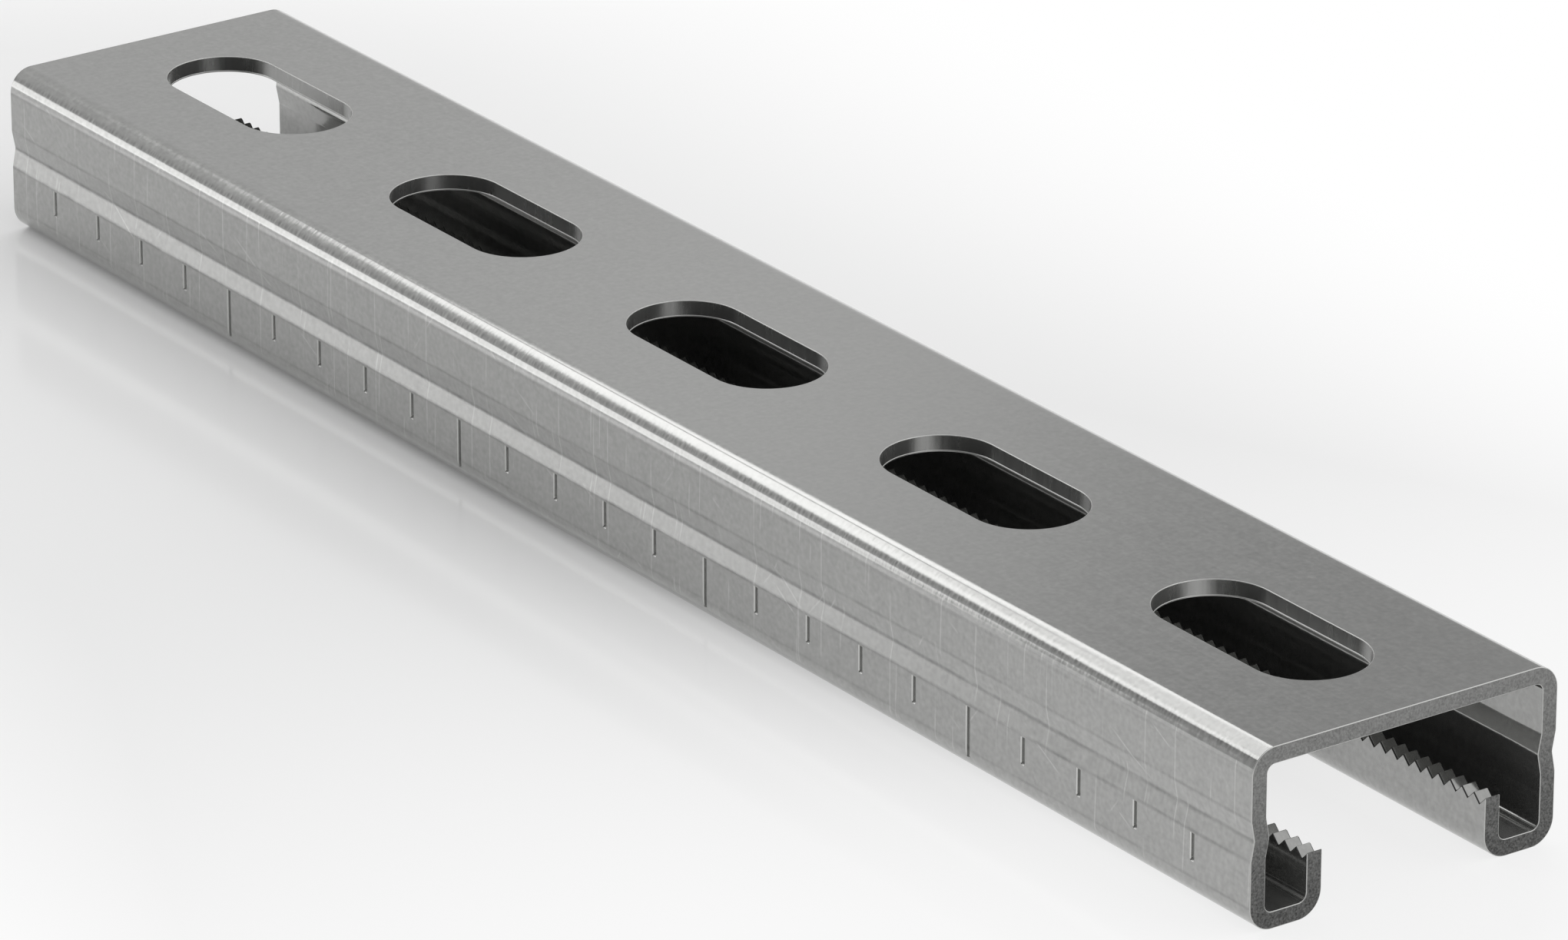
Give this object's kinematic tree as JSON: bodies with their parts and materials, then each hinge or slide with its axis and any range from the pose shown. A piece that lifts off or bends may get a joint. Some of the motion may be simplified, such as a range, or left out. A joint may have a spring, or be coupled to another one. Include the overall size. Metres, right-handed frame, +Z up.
{
  "type": "strut channel",
  "caption": "Roll-formed steel strut channel with obround slots in its back, inturned lips with toothed edges, pressed side beads and plain scale marks along one side.",
  "frame": {"origin": "middle of the channel's length and width, at the height of the undersides of its lips", "axes": "+X along the length, +Y across the width away from the side with the scale marks, +Z up towards the slotted back; the mouth faces down"},
  "size_m": [0.25, 0.041, 0.021],
  "materials": {
    "zinc_steel": "zinc-coated rolled steel, satin, with faint rolling marks along the length"
  },
  "bodies": {
    "root": {"channel": "zinc_steel"}
  },
  "joints": []
}
